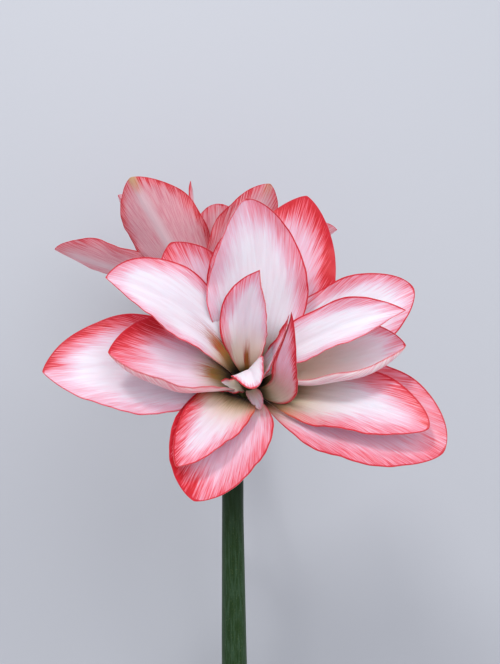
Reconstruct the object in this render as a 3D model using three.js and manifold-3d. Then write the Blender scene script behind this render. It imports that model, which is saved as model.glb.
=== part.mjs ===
// A cut amaryllis stem with two open double flowers, laid down on a level surface.
// Millimetres, +Z up. The stem runs towards -Y, the flowers lie at the +Y end.
// Every petal is a closed sheet described in its own flower's frame: the flower's axis is
// its z, azimuths turn about that axis, and the opening angle is measured from it.
import * as THREE from 'three';
import { mergeVertices } from 'three/addons/utils/BufferGeometryUtils.js';
import Module from 'manifold-3d';

const wasm = await Module();
wasm.setup();

// Thickness of a petal, and the air kept between two pieces that touch in the plant.
const petalThickness = 0.8;
const seatGap = 0.3;

// Where each flower's petals start, and which way the flower looks.
const frontFlower = { throat: [8.6, 19, 69], axis: [0, 0.454, 0.891] };
const rearFlower = { throat: [-18, 60, -32], axis: [-0.1, 0.87, -0.48] };

// How the finished stem lies: turned about X and about Y, in degrees, then set down.
const layTurn = { x: 8.7, y: -2.65 };

// Rings on the stepped receptacle that carry the petals, from the outermost inwards:
// radius from the flower's axis, and height along it.
const ring1 = { r0: 9.5, h0: 0 };
const ring2 = { r0: 8, h0: 2 };
const ring3 = { r0: 6.5, h0: 4 };
const ring4 = { r0: 5, h0: 6 };
const ring5 = { r0: 3.4, h0: 8 };
const rings = [ring1, ring2, ring3, ring4, ring5];
const centreBoss = { r0: 1.8, h0: 11 };
const shelfHalf = 0.75;

// Facets round the stem and the flower tube, and round a stalk.
const stemSides = 24;
const stalkSides = 16;

// What a petal is when nothing else is said of it.
//   at            azimuth of the seat (az when left out)
//   az, bend      azimuth the petal points to, and how far it swings sideways by its tip
//   a0, a1, a2    opening angle at the seat, once it has spread, and at the tip
//   turn          part of the length over which it spreads
//   length, width, base, wide, tip, full    length, greatest width, width of the claw as a
//                 part of it, where it is widest, and how the outline closes at the tip
//   left, right   width of each half as a part of the full half width
//   keel, cup*, edge*    fold at the midrib, bowl of each half, curl of each margin, degrees
//   roll          turn of the blade about its own midrib
//   wave, waves   height in mm and number of ripples along a margin
const plainPetal = {
  az: 0, bend: 0, a0: 20, a1: 60, a2: 70, turn: 0.45, roll: 0,
  length: 105, width: 46, base: 0.2, wide: 0.58, tip: 0.75, full: 2.2,
  left: 1, right: 1, keel: 6, cupL: 20, cupR: 20, edgeL: 0, edgeR: 0,
  wave: 1.5, waves: 3, rows: 11, columns: 6,
};

// Petals of both flowers. Where two would touch, the one that comes first keeps its form
// and the later one is trimmed clear of it.
const frontPetals = {
  front_petaloid_folded: {
    ...ring5, at: -43, az: -27, bend: 110, a0: 43, a1: -3, a2: 28, length: 84, width: 24,
    base: 0.05, wide: 0.38, tip: 1.15, full: 1.08, left: 1.25, right: 0.2, keel: -17, cupL: 35,
    cupR: 60, roll: 46, wave: 0.5, rows: 12,
  },
  front_petaloid_behind: {
    ...ring5, at: -20, az: 26, bend: 25, a0: 29, a1: 19, a2: 10, length: 65, width: 24,
    base: 0.1, wide: 0.38, tip: 1.1, full: 1, right: 0.71, cupL: 0, cupR: 40, roll: -50,
    wave: 0.5, rows: 9,
  },
  front_petaloid_upright: {
    ...ring5, az: 95, bend: -38, a1: 34, a2: 29, length: 69, width: 30, base: 0.1, wide: 0.57,
    tip: 1.1, cupL: 56, cupR: 10, edgeL: 24,
  },
  front_petaloid_lobed: {
    ...centreBoss, at: 107, az: 283, a0: 0, a1: 17, a2: 72, length: 44, width: 19.6, base: 0.28,
    wide: 0.57, tip: 0.4, full: 1.2, cupL: 14, cupR: 10, roll: 23, wave: 0.4, rows: 10,
  },
  front_petaloid_strap: {
    ...ring5, az: 286, a1: 44, a2: 64, length: 28, width: 8, base: 0.25, wide: 0.55, tip: 0.6,
    wave: 0, rows: 7, columns: 4,
  },
  front_petal_right_inner: {
    ...ring5, az: 17, bend: -22, a1: 50, a2: 64, length: 102, width: 27, base: 0.1, wide: 0.62,
    tip: 1, cupL: 29, cupR: 34,
  },
  front_petal_right_curled: {
    ...ring4, az: -6, bend: 12, a0: 31, a1: 60, a2: 60, length: 91, width: 38, base: 0.1,
    wide: 0.68, tip: 0.7, cupL: 46, cupR: 36, edgeL: 110, columns: 10,
  },
  front_petal_left_curled: {
    ...ring4, az: 184, a1: 60, a2: 58, length: 84, width: 50, base: 0.08, cupR: 35, edgeR: 80,
    columns: 10,
  },
  front_petaloid_curl: {
    ...ring5, at: 230, az: 210, a1: 42, a2: 52, length: 28, width: 10, base: 0.15, wide: 0.4,
    wave: 0.8, rows: 6, columns: 4,
  },
  front_petal_top_inner: {
    ...ring3, az: 78, bend: 32, a1: 53, a2: 47, length: 100, width: 56, base: 0.1, wide: 0.52,
    tip: 0.63, full: 1.6, cupL: 28, cupR: 29,
  },
  front_petal_upper_left_inner: {
    ...ring4, at: 122, az: 136, bend: 55, a1: 52, a2: 57, length: 103, width: 39, base: 0.14,
    wide: 0.66, tip: 0.9, cupL: 5, cupR: 28,
  },
  front_petal_lower_right_inner: {
    ...ring3, az: -21, bend: -13, a0: 46, a1: 61, a2: 73, length: 103, width: 39, base: 0.17,
    wide: 0.47, tip: 0.63, cupL: 14, cupR: 12,
  },
  front_petal_bottom_inner: {
    ...ring3, az: 244, bend: -5, a1: 58, a2: 64, length: 84, width: 32, base: 0.13,
    wide: 0.45, cupL: 12, cupR: 26,
  },
  front_petal_top_left_inner: {
    ...ring2, az: 97, a1: 58, a2: 57, length: 83, width: 34, base: 0.1, cupR: 10,
  },
  front_petal_right_outer: {
    ...ring2, az: 21, a1: 66, a2: 67, length: 102, width: 46, tip: 0.6, cupL: 8,
  },
  front_petal_bottom_outer: {
    ...ring2, az: 252, a1: 66, a2: 72, length: 89, width: 50, wide: 0.52, tip: 0.6,
  },
  front_petal_upper_left_outer: {
    ...ring1, at: 124, az: 122, a1: 65, a2: 64, length: 85, width: 46, base: 0.12,
  },
  front_petal_top_outer: {
    ...ring1, az: 69, bend: 4, a1: 70, a2: 62, length: 105, width: 60, wide: 0.42, cupL: 0,
    cupR: 4,
  },
  front_petal_lower_right_outer: {
    ...ring1, az: -23, bend: -14, a0: 36, a1: 71, a2: 79, length: 110, width: 58, wide: 0.54,
    tip: 0.6, cupL: 10, cupR: 8,
  },
  front_petal_left_outer: {
    ...ring1, az: 180, bend: 15, a1: 74, a2: 74, length: 110, width: 57, wide: 0.52, tip: 0.8,
    cupL: 12, cupR: 12,
  },
};

const rearPetals = {
  rear_petaloid_thin: {
    ...ring5, at: 250, az: 268, a1: 34, a2: 34, length: 80, width: 12, base: 0.2, roll: 75,
    rows: 8, columns: 4,
  },
  rear_petaloid_right: {
    ...ring5, az: 40, a1: 24, a2: 22, length: 50, width: 20, base: 0.15, rows: 8, columns: 4,
  },
  rear_petaloid_left: {
    ...ring5, az: 190, a1: 26, a2: 24, length: 48, width: 20, base: 0.15, rows: 8, columns: 4,
  },
  rear_petal_left_inner: {
    ...ring4, az: 212, a1: 42, a2: 40, length: 92, width: 32, base: 0.14,
  },
  rear_petal_right_inner: {
    ...ring4, az: 334, a1: 40, a2: 40, length: 76, width: 32, base: 0.14,
  },
  rear_petal_under_inner: {
    ...ring4, az: 92, a1: 38, a2: 38, length: 76, width: 34, base: 0.14,
  },
  rear_petal_top_inner: {
    ...ring3, az: 292, bend: -16, a1: 50, a2: 56, length: 68, width: 34, base: 0.14, wide: 0.66,
    tip: 0.6, roll: -20,
  },
  rear_petal_under_right_inner: {
    ...ring3, az: 34, a1: 48, a2: 46, length: 80, width: 34, base: 0.14, cupL: 8, cupR: 8,
  },
  rear_petal_under_left_inner: {
    ...ring3, az: 152, a1: 44, a2: 42, length: 80, width: 34, base: 0.14, cupL: 8, cupR: 8,
  },
  rear_petal_top_left_outer: {
    ...ring2, az: 240, a1: 59, a2: 52, length: 96, width: 55, base: 0.14,
  },
  rear_petal_right_outer: {
    ...ring2, az: 3, a1: 62, a2: 68, length: 109, width: 44, base: 0.14,
  },
  rear_petal_under_left_outer: {
    ...ring2, az: 120, a1: 54, a2: 52, length: 100, width: 42, base: 0.14,
  },
  rear_petal_left_outer: {
    ...ring1, az: 180, a1: 64, a2: 64, length: 111, width: 44, base: 0.16,
  },
  rear_petal_top_right_outer: {
    ...ring1, az: 306, a1: 64, a2: 55, length: 90, width: 42, cupL: 8, cupR: 8,
  },
  rear_petal_under_right_outer: {
    ...ring1, az: 60, a1: 56, a2: 52, length: 100, width: 42, cupL: 8, cupR: 8,
  },
};

// Two withered spathe valves, the bracts that wrapped the buds: they sit on the sides of
// the umbel and hang back between the two flowers.
const umbel = { throat: [-0.6, -19, 0], axis: [0, -0.3, -0.95] };
const valve = {
  r0: 8, h0: 0, a0: 60, a1: 22, a2: 6, turn: 0.5, length: 44, width: 15, base: 0.5, wide: 0.35,
  tip: 1, full: 1.3, keel: 4, cupL: 30, cupR: 30, wave: 0.8, waves: 2, rows: 9, columns: 4,
};
const spatheValves = {
  spathe_valve_right: { ...valve, az: 0, a0: 50, a1: 0, a2: -14, length: 38 },
  spathe_valve_left: { ...valve, az: 180, bend: -16, a2: 12 },
};

// The stem: points its centre line passes through from the umbel to the cut end, with
// half widths across (x) and in depth (z) at each, and the hollow in the cut end.
const stemLine = [
  { at: [-0.6, -15, 0], rx: 7.4, rz: 9.2 },
  { at: [-0.6, -19, 0], rx: 7.5, rz: 9.2 },
  { at: [-0.7, -28, -1], rx: 6.5, rz: 8.1 },
  { at: [-0.9, -60, -6], rx: 6.6, rz: 8.2 },
  { at: [-0.6, -110, -15], rx: 7.3, rz: 8.7 },
  { at: [-0.2, -161, -26], rx: 8, rz: 9.2 },
  { at: [1.2, -235, -41], rx: 8.5, rz: 9.6 },
  { at: [3.5, -315, -56], rx: 8.8, rz: 9.8 },
];
const stemWall = 2.8;
const hollowDepth = 60;

// Flower stalks: from a seat on the top of the stem to the lower end of the ovary.
const stalkRadius = 3.8;
const stalkWaist = 0.4;
const frontStalk = { foot: [1, 4.9], rise: 9, reach: 16 };
const rearStalk = { foot: [-2.4, -4.9], rise: 14, reach: 14 };

// The flower's base below its petals, from the tube's rim down to the stalk:
// height along the axis and radius.
const tubeProfile = [[-3, 9.8], [-8, 8.4], [-14, 6.6], [-18, 6]];
const ovaryProfile = [[-22, 6.7], [-27, 7.2], [-32, 6.6], [-37, 4.6], [-39, 3.2]];
const ovaryEnd = -36;

const petalWhite = { color: 0xf3dfe6, roughness: 0.55, metalness: 0 };
const petalRose = { color: 0xe39aa8, roughness: 0.55, metalness: 0 };
const baseGreen = { color: 0x8a9a55, roughness: 0.5, metalness: 0 };
const valveTan = { color: 0xa98f5c, roughness: 0.7, metalness: 0 };
const stemGreen = { color: 0x33502f, roughness: 0.45, metalness: 0 };

const smooth = (from, to, x) => THREE.MathUtils.smoothstep(x, from, to);
const radians = THREE.MathUtils.degToRad;

// Closed solid of a mesh whose vertices may repeat; triangles that have shrunk to a line
// at a tip are left out.
function solidOf(geometry) {
  const bare = new THREE.BufferGeometry();
  bare.setAttribute('position', geometry.getAttribute('position').clone());
  if (geometry.index) bare.setIndex(geometry.index.clone());
  const merged = mergeVertices(bare, 1e-4);
  const old = merged.index.array;
  const kept = [];
  for (let i = 0; i < old.length; i += 3) {
    const [a, b, c] = [old[i], old[i + 1], old[i + 2]];
    if (a !== b && b !== c && c !== a) kept.push(a, b, c);
  }
  return new wasm.Manifold(new wasm.Mesh({
    numProp: 3,
    vertProperties: merged.attributes.position.array,
    triVerts: new Uint32Array(kept),
  }));
}

function geometryOf(solid) {
  const mesh = solid.getMesh();
  const geometry = new THREE.BufferGeometry();
  geometry.setAttribute('position', new THREE.BufferAttribute(mesh.vertProperties, 3));
  geometry.setIndex(new THREE.BufferAttribute(mesh.triVerts, 1));
  const flat = geometry.toNonIndexed();
  flat.computeVertexNormals();
  return flat;
}

const largestBody = (solid) =>
  solid.decompose().reduce((best, body) => (body.volume() > best.volume() ? body : best));

// Frame of a flower: its axis as z, x level with the picture, y completing it.
function flowerMatrix(flower) {
  const z = new THREE.Vector3(...flower.axis).normalize();
  const x = new THREE.Vector3(1, 0, 0).addScaledVector(z, -z.x).normalize();
  const y = new THREE.Vector3().crossVectors(z, x);
  return new THREE.Matrix4().makeBasis(x, y, z).setPosition(...flower.throat);
}

// Half the outline's width along the petal, 1 at its widest: a sine rise from the claw,
// then a fall to nothing at the tip.
function outline(p, s) {
  if (s < p.wide) {
    return p.base + (1 - p.base) * Math.sin((Math.PI / 2) * s / p.wide) ** 1.35;
  }
  return (1 - ((s - p.wide) / (1 - p.wide)) ** p.full) ** p.tip;
}

// Midrib: short straight steps laid end to end, the opening angle spreading from a0 to a1
// and on to a2. Each station also holds the directions across and through the blade.
function midrib(p, steps = 64) {
  const stations = [];
  const seat = radians(p.at ?? p.az);
  const place = new THREE.Vector3(p.r0 * Math.cos(seat), p.r0 * Math.sin(seat), p.h0);
  let before = null;
  for (let i = 0; i <= steps; i += 1) {
    const s = i / steps;
    const open = radians(p.a0 + (p.a1 - p.a0) * smooth(0, p.turn, s)
      + (p.a2 - p.a1) * smooth(p.turn * 0.8, 1, s));
    const az = radians(p.az + p.bend * s ** 1.5);
    const along = new THREE.Vector3(
      Math.sin(open) * Math.cos(az), Math.sin(open) * Math.sin(az), Math.cos(open));
    if (before) {
      place.addScaledVector(before.clone().add(along), p.length / steps / 2);
    }
    before = along;
    const across = new THREE.Vector3(-Math.sin(az), Math.cos(az), 0);
    const through = new THREE.Vector3().crossVectors(along, across);
    across.applyAxisAngle(along, radians(p.roll));
    through.applyAxisAngle(along, radians(p.roll));
    stations.push({ place: place.clone(), across, through });
  }
  return stations;
}

// A station between two of the midrib's.
function stationAt(stations, s) {
  const x = s * (stations.length - 1);
  const i = Math.min(Math.floor(x), stations.length - 2);
  const [a, b] = [stations[i], stations[i + 1]];
  const between = (name) => a[name].clone().lerp(b[name], x - i);
  return { place: between('place'), across: between('across'), through: between('through') };
}

// Half section of the blade from the midrib to one margin, as [out, up] for a half width
// of 1: the surface turns up by the keel, the bowl and the curl of the margin. At the seat
// it follows the ring instead.
function halfSection(p, s, side, steps = 48) {
  const cup = side > 0 ? p.cupR : p.cupL;
  const edge = side > 0 ? p.edgeR : p.edgeL;
  const spread = smooth(0, 0.3, s);
  const ringBend = THREE.MathUtils.radToDeg((p.base * p.width) / 2 / p.r0);
  const slope = (v) => radians(p.keel * Math.tanh(v / 0.12) * spread
    + (cup * spread + ringBend * (1 - spread)) * v + edge * spread * smooth(0.6, 1, v));
  const points = [[0, 0]];
  for (let i = 1; i <= steps; i += 1) {
    const [out, up] = points[i - 1];
    const [a, b] = [slope((i - 1) / steps), slope(i / steps)];
    points.push([
      out + (Math.cos(a) + Math.cos(b)) / 2 / steps,
      up + (Math.sin(a) + Math.sin(b)) / 2 / steps,
    ]);
  }
  return points;
}

// Point of the petal's middle surface: s runs from seat to tip, v from margin to margin.
function petalPoint(p, stations, sections, s, v) {
  const side = v > 0 ? 1 : -1;
  const section = side > 0 ? sections.right : sections.left;
  const x = Math.abs(v) * (section.length - 1);
  const i = Math.min(Math.floor(x), section.length - 2);
  const half = (outline(p, s) * p.width / 2) * (side > 0 ? p.right : p.left);
  const out = half * THREE.MathUtils.lerp(section[i][0], section[i + 1][0], x - i);
  const bowl = half * THREE.MathUtils.lerp(section[i][1], section[i + 1][1], x - i);
  const lag = side > 0 ? 0 : radians(140);
  const ripple = p.wave * v * v * Math.sin(2 * Math.PI * p.waves * s + lag)
    * Math.sin(Math.PI * s) ** 0.7 * smooth(0.1, 0.4, s);
  const { place, across, through } = stationAt(stations, s);
  return place.addScaledVector(across, side * out).addScaledVector(through, bowl + ripple);
}

// Closed sheet of a petal, its grid of middle points moved half the thickness to each
// side and the same triangles on both faces. "spare" widens it by that much all round.
function petalSheet(p, thickness, spare = 0) {
  const stations = midrib(p);
  const { rows, columns } = p;
  const middle = [];
  for (let i = 0; i <= rows; i += 1) {
    const t = i / rows;
    const s = Math.min(t * (1.25 - 0.25 * t), 1 - 1e-6);
    const sections = { left: halfSection(p, s, -1), right: halfSection(p, s, 1) };
    const row = [];
    for (let j = 0; j <= columns; j += 1) {
      row.push(petalPoint(p, stations, sections, i === rows ? 1 : s, (2 * j) / columns - 1));
    }
    middle.push(row);
  }
  const at = (i, j) => middle[THREE.MathUtils.clamp(i, 0, rows)][
    THREE.MathUtils.clamp(j, 0, columns)];
  const normalAt = (i, j) => {
    const row = Math.min(i, rows - 1);
    const along = at(row + 1, j).clone().sub(at(row - 1, j));
    const across = at(row, j + 1).clone().sub(at(row, j - 1));
    return along.cross(across).normalize();
  };
  const normals = middle.map((row, i) => row.map((_, j) =>
    (i === rows ? normalAt(rows - 1, columns / 2) : normalAt(i, j))));
  const moved = middle.map((row) => row.map((point) => point.clone()));
  if (spare > 0) {
    for (let i = 0; i <= rows; i += 1) {
      for (const [j, inner] of [[0, 1], [columns, columns - 1]]) {
        const outwards = at(i, j).clone().sub(at(i, inner));
        if (outwards.length() > 0.01) moved[i][j].addScaledVector(outwards.normalize(), spare);
      }
    }
    const onward = at(rows, 0).clone().sub(at(rows - 1, columns / 2)).normalize();
    moved[rows].forEach((point) => point.addScaledVector(onward, spare));
  }
  const positions = [];
  for (const side of [1, -1]) {
    moved.forEach((row, i) => row.forEach((point, j) => {
      positions.push(...point.clone().addScaledVector(normals[i][j], side * thickness / 2));
    }));
  }
  const upper = (i, j) => i * (columns + 1) + j;
  const lower = (i, j) => (rows + 1) * (columns + 1) + upper(i, j);
  const index = [];
  for (let i = 0; i < rows; i += 1) {
    for (let j = 0; j < columns; j += 1) {
      index.push(upper(i, j), upper(i + 1, j), upper(i + 1, j + 1));
      index.push(upper(i, j), upper(i + 1, j + 1), upper(i, j + 1));
      index.push(lower(i, j), lower(i + 1, j + 1), lower(i + 1, j));
      index.push(lower(i, j), lower(i, j + 1), lower(i + 1, j + 1));
    }
  }
  const wall = (a, b, lowA, lowB) => index.push(a, b, lowB, a, lowB, lowA);
  for (let i = 0; i < rows; i += 1) {
    wall(upper(i + 1, 0), upper(i, 0), lower(i + 1, 0), lower(i, 0));
    wall(upper(i, columns), upper(i + 1, columns), lower(i, columns), lower(i + 1, columns));
  }
  for (let j = 0; j < columns; j += 1) {
    wall(upper(0, j), upper(0, j + 1), lower(0, j), lower(0, j + 1));
    wall(upper(rows, j + 1), upper(rows, j), lower(rows, j + 1), lower(rows, j));
  }
  const geometry = new THREE.BufferGeometry();
  geometry.setAttribute('position', new THREE.Float32BufferAttribute(positions, 3));
  geometry.setIndex(index);
  return geometry;
}

// Rings of an ellipse along a curve, capped at both ends. The ellipse's second half width
// lies along "depth" made square to the curve.
function sweptBody(curve, widths, depth, sides, rows) {
  const positions = [];
  const index = [];
  for (let i = 0; i <= rows; i += 1) {
    const t = i / rows;
    const centre = curve.getPoint(t);
    const along = curve.getTangent(t);
    const second = depth.clone().addScaledVector(along, -depth.dot(along)).normalize();
    const first = new THREE.Vector3().crossVectors(second, along);
    const [rx, rz] = widths(t);
    for (let k = 0; k < sides; k += 1) {
      const turn = (2 * Math.PI * k) / sides;
      positions.push(...centre.clone().addScaledVector(first, rx * Math.cos(turn))
        .addScaledVector(second, rz * Math.sin(turn)));
    }
  }
  const capAt = (i) => {
    positions.push(...curve.getPoint(i / rows));
    return positions.length / 3 - 1;
  };
  for (let i = 0; i < rows; i += 1) {
    for (let k = 0; k < sides; k += 1) {
      const [a, b] = [i * sides + k, i * sides + ((k + 1) % sides)];
      index.push(a, b, b + sides, a, b + sides, a + sides);
    }
  }
  const [start, end] = [capAt(0), capAt(rows)];
  for (let k = 0; k < sides; k += 1) {
    const next = (k + 1) % sides;
    index.push(start, next, k, end, rows * sides + k, rows * sides + next);
  }
  const geometry = new THREE.BufferGeometry();
  geometry.setAttribute('position', new THREE.Float32BufferAttribute(positions, 3));
  geometry.setIndex(index);
  return geometry;
}

// The stem, with the open hollow at its cut end.
function stemSolid() {
  const rows = 18;
  const curve = new THREE.CatmullRomCurve3(stemLine.map((p) => new THREE.Vector3(...p.at)));
  const widthAt = (inset) => (t) => {
    const x = t * (stemLine.length - 1);
    const i = Math.min(Math.floor(x), stemLine.length - 2);
    return ['rx', 'rz'].map((key) =>
      THREE.MathUtils.lerp(stemLine[i][key], stemLine[i + 1][key], x - i) - inset);
  };
  const depth = new THREE.Vector3(0, 0, 1);
  const body = solidOf(sweptBody(curve, widthAt(0), depth, stemSides, rows));
  const last = stemLine.at(-1);
  const end = new THREE.Vector3(...last.at);
  const inward = curve.getTangent(1).negate();
  const bore = new THREE.LineCurve3(
    end.clone().addScaledVector(inward, -2), end.clone().addScaledVector(inward, hollowDepth));
  const boreWidths = () => [last.rx - stemWall, last.rz - stemWall];
  return body.subtract(solidOf(sweptBody(bore, boreWidths, depth, stemSides, 1)));
}

// Stalk, ovary, tube and stepped receptacle of one flower, one piece of green flesh.
function flowerBaseSolid(flower, stalk) {
  const steps = rings.flatMap(({ r0, h0 }) => {
    const shelf = h0 - (petalThickness / 2) * Math.sin(radians(plainPetal.a0)) - seatGap;
    return [[shelf, r0 + shelfHalf], [shelf, r0 - shelfHalf]];
  });
  const inner = ring5.r0 - shelfHalf;
  const boss = centreBoss.h0 - seatGap;
  const profile = [[boss, 0], [boss, inner], ...steps.reverse(),
    ...tubeProfile, ...ovaryProfile, [ovaryProfile.at(-1)[0], 0]];
  const lathe = new THREE.LatheGeometry(
    profile.reverse().map(([h, r]) => new THREE.Vector2(r, h)), stemSides);
  lathe.rotateX(Math.PI / 2);
  const matrix = flowerMatrix(flower);
  const top = solidOf(lathe.applyMatrix4(matrix));
  const axis = new THREE.Vector3(...flower.axis).normalize();
  const foot = new THREE.Vector3(stalk.foot[0], stemLine[0].at[1] + seatGap, stalk.foot[1]);
  const head = new THREE.Vector3(0, 0, ovaryEnd).applyMatrix4(matrix);
  const curve = new THREE.CubicBezierCurve3(
    foot, foot.clone().add(new THREE.Vector3(0, stalk.rise, 0)),
    head.clone().addScaledVector(axis, -stalk.reach), head);
  const radiusAt = (t) => stalkRadius - stalkWaist * Math.sin(Math.PI * t);
  const widths = (t) => [radiusAt(t), radiusAt(t)];
  return top.add(solidOf(sweptBody(curve, widths, new THREE.Vector3(1, 0, 0), stalkSides, 12)));
}

// All petals of both flowers and the valves, each trimmed clear of those before it.
function petalSolids() {
  const made = [];
  const whorls = [[frontFlower, frontPetals], [rearFlower, rearPetals], [umbel, spatheValves]];
  for (const [flower, sheets] of whorls) {
    const matrix = flowerMatrix(flower);
    for (const [name, own] of Object.entries(sheets)) {
      const p = { ...plainPetal, ...own };
      let solid = solidOf(petalSheet(p, petalThickness).applyMatrix4(matrix));
      for (const earlier of made) {
        if (solid.intersect(earlier.cleared).volume() > 1e-6) {
          solid = largestBody(solid.subtract(earlier.cleared));
        }
      }
      const cleared = solidOf(
        petalSheet(p, petalThickness + 2 * seatGap, seatGap).applyMatrix4(matrix));
      made.push({ name, solid, cleared });
    }
  }
  return made;
}

// A flower's base with a recess where a claw dips into it.
const seatPetals = (base, petals) =>
  petals.reduce((solid, { cleared }) => largestBody(solid.subtract(cleared)), base);

function addMesh(group, name, solid, look) {
  const mesh = new THREE.Mesh(geometryOf(solid), new THREE.MeshStandardMaterial(look));
  mesh.name = name;
  group.add(mesh);
}

// Turns the whole stem into its lying pose and sets its lowest point on z = 0, centred.
function layDown(group) {
  const turn = new THREE.Matrix4().makeRotationFromEuler(
    new THREE.Euler(radians(layTurn.x), radians(layTurn.y), 0));
  group.children.forEach((mesh) => mesh.geometry.applyMatrix4(turn));
  const box = new THREE.Box3().setFromObject(group);
  const centre = box.getCenter(new THREE.Vector3());
  const shift = new THREE.Matrix4().makeTranslation(-centre.x, -centre.y, -box.min.z);
  group.children.forEach((mesh) => mesh.geometry.applyMatrix4(shift));
}

const amaryllis = new THREE.Group();
amaryllis.name = 'amaryllis';
addMesh(amaryllis, 'stem', stemSolid(), stemGreen);
const looks = { front: petalWhite, rear: petalRose, spathe: valveTan };
const petals = petalSolids();
const frontBase = seatPetals(flowerBaseSolid(frontFlower, frontStalk), petals);
const rearBase = seatPetals(flowerBaseSolid(rearFlower, rearStalk), petals);
addMesh(amaryllis, 'front_flower_base', frontBase, baseGreen);
addMesh(amaryllis, 'rear_flower_base', rearBase, baseGreen);
for (const { name, solid } of petals) {
  addMesh(amaryllis, name, solid, looks[name.split('_')[0]]);
}
layDown(amaryllis);

export default amaryllis;
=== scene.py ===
# A cut amaryllis laid down on a pale surface: one green stem, two open double flowers.
# Shapes are worked out in millimetres in the upright flower's own space, then laid down.
import bpy
import numpy as np
from mathutils import Matrix, Vector


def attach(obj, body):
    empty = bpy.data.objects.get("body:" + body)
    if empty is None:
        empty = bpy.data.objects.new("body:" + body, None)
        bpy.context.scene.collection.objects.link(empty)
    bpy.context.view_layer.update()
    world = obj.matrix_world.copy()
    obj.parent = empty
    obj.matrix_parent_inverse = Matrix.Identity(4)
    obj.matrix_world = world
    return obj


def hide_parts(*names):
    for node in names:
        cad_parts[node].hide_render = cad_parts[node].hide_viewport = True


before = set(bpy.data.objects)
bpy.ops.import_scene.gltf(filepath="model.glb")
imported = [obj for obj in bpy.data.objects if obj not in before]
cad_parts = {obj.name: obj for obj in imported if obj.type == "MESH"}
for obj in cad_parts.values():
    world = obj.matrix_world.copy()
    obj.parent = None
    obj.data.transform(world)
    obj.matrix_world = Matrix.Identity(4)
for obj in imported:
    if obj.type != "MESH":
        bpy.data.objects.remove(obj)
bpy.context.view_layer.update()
scene = bpy.context.scene
print("frame:", len(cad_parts), "nodes")

lay = {"turnX": 8.7, "turnY": -2.65, "shift": (9.71, 77.74, 112.02)}  # how the cut stem lies, degrees and mm
layMatrix = (Matrix.Translation(Vector(lay["shift"]) / 1000)
             @ Matrix.Rotation(np.radians(lay["turnX"]), 4, "X")
             @ Matrix.Rotation(np.radians(lay["turnY"]), 4, "Y"))
layTurn = np.array(layMatrix.to_3x3())
layShift = np.array(layMatrix.translation)


def laidDown(points):
    # upright millimetres to metres on the table: turned, then shifted
    return points / 1000 @ layTurn.T + layShift


# the camera stands where the photograph was taken from: place in the upright space in mm
cameraValues = {"place": (9.7, 51.0, 609.0), "focalPixels": 1000.0, "framePixels": 664.0, "sensor": 24.0}
cameraData = bpy.data.cameras.new("camera")
cameraData.sensor_fit = "VERTICAL"
cameraData.sensor_height = cameraValues["sensor"]
cameraData.lens = cameraValues["sensor"] * cameraValues["focalPixels"] / cameraValues["framePixels"]
cameraData.clip_start = 0.01
camera = bpy.data.objects.new("camera", cameraData)
scene.collection.objects.link(camera)
camera.matrix_world = layMatrix @ Matrix.Translation(Vector(cameraValues["place"]) / 1000)
scene.camera = camera
print("camera set")


def linear(r, g, b):
    # screen colour 0-255 to the linear colour a shader wants: a power of 2.4, straight near black
    c = np.array([r, g, b]) / 255
    low = c / 12.92
    high = ((c + 0.055) / 1.055) ** 2.4
    return tuple(float(x) for x in np.where(c <= 0.04045, low, high)) + (1.0,)


def addNode(tree, kind, feeds=None, **settings):
    # feeds are links or values for the inputs, by name or number
    node = tree.nodes.new(kind)
    for name, value in settings.items():
        setattr(node, name, value)
    for key, value in (feeds or {}).items():
        if isinstance(value, bpy.types.NodeSocket):
            tree.links.new(value, node.inputs[key])
        else:
            node.inputs[key].default_value = value
    return node


def calc(tree, operation, a, b=0.0, c=0.0, clamp=False):
    # one sum on a, b and c; multiply-add is a times b plus c
    feeds = {0: a, 1: b, 2: c}
    return addNode(tree, "ShaderNodeMath", feeds, operation=operation, use_clamp=clamp).outputs[0]


def product(tree, first, *others):
    # first times each of the others
    for other in others:
        first = calc(tree, "MULTIPLY", first, other)
    return first


def step(tree, value, low, high, atLow=0.0, atHigh=1.0):
    # soft step of value from low to high
    feeds = {"Value": value, "From Min": low, "From Max": high, "To Min": atLow, "To Max": atHigh}
    return addNode(tree, "ShaderNodeMapRange", feeds, interpolation_type="SMOOTHSTEP").outputs["Result"]


def fade(tree, value, low, high, full=1.0):
    # soft step down from full to nothing
    return step(tree, value, low, high, full, 0.0)


def blend(tree, amount, first, second, how="MIX"):
    # first where amount is 0, second where it is 1
    feeds = {0: amount, 6: first, 7: second}
    return addNode(tree, "ShaderNodeMix", feeds, data_type="RGBA", blend_type=how).outputs[2]


def reading(tree, name):
    # a value that the mesh carries at each point
    return addNode(tree, "ShaderNodeAttribute", attribute_name=name).outputs["Fac"]


def colourRamp(tree, value, stops):
    # stops are pairs of a place from 0 to 1 and a linear colour
    node = addNode(tree, "ShaderNodeValToRGB", {0: value})
    while len(node.color_ramp.elements) < len(stops):
        node.color_ramp.elements.new(0.5)
    for element, (place, colour) in zip(node.color_ramp.elements, stops):
        element.position = place
        element.color = colour
    return node.outputs["Color"]


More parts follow.
